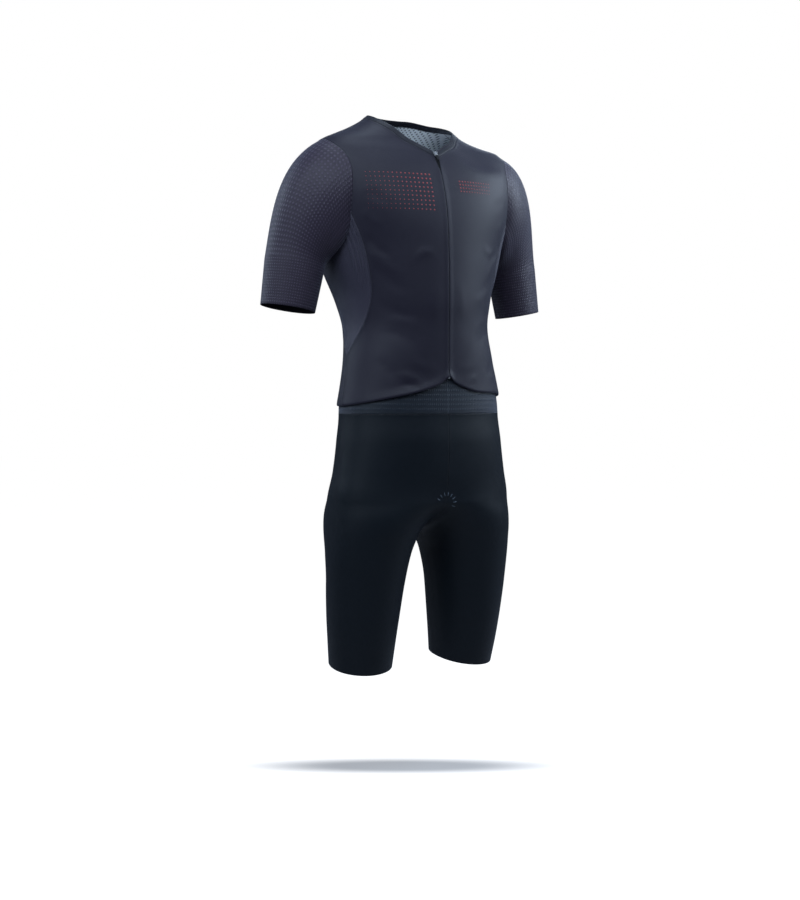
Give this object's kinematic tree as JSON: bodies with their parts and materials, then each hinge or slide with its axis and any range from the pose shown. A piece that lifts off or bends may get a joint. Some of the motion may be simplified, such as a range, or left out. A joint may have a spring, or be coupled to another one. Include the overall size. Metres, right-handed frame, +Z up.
{
  "type": "triathlon suit",
  "caption": "One-piece short-sleeved racing suit with a front zip and knee-length shorts, filled out as if worn.",
  "frame": {"origin": "midway between the shoulders, at the height of the shoulder line, where the wearer holds the suit up", "axes": "+Z up, -Y out of the chest, +X towards the wearer's left"},
  "size_m": [0.55, 0.2511, 0.9624],
  "materials": {
    "top_cloth": "smooth stretch jersey, near-black navy",
    "ribbed_cloth": "fine mesh with raised ribs",
    "sleeve_cloth": "dimpled stretch jersey, charcoal",
    "band_cloth": "folded elastic band",
    "shorts_cloth": "dense woven stretch, near-black",
    "zip_cloth": "woven tape",
    "zip_teeth": "moulded coil",
    "bright_metal": "polished",
    "dark_metal": "satin"
  },
  "bodies": {
    "suit": {"front_left": "top_cloth", "front_right": "top_cloth", "back": "top_cloth", "side_left": "ribbed_cloth", "side_right": "ribbed_cloth", "sleeve_left": "sleeve_cloth", "sleeve_right": "sleeve_cloth", "collar": "band_cloth", "zip_tape_left": "zip_cloth", "zip_tape_right": "zip_cloth", "zip_coil": "zip_teeth", "zip_stop": "dark_metal", "zip_slider": "bright_metal", "waistband_left": "band_cloth", "waistband_right": "band_cloth", "leg_left": "shorts_cloth", "leg_right": "shorts_cloth"},
    "pull": {"zip_pull": "dark_metal"}
  },
  "joints": [
    {"name": "pull_hinge", "type": "hinge", "parent": "suit", "child": "pull", "pos_m": [0, -0.08123, -0.04496], "axis": [-1, 0, 0], "range_deg": [0, 150]}
  ]
}
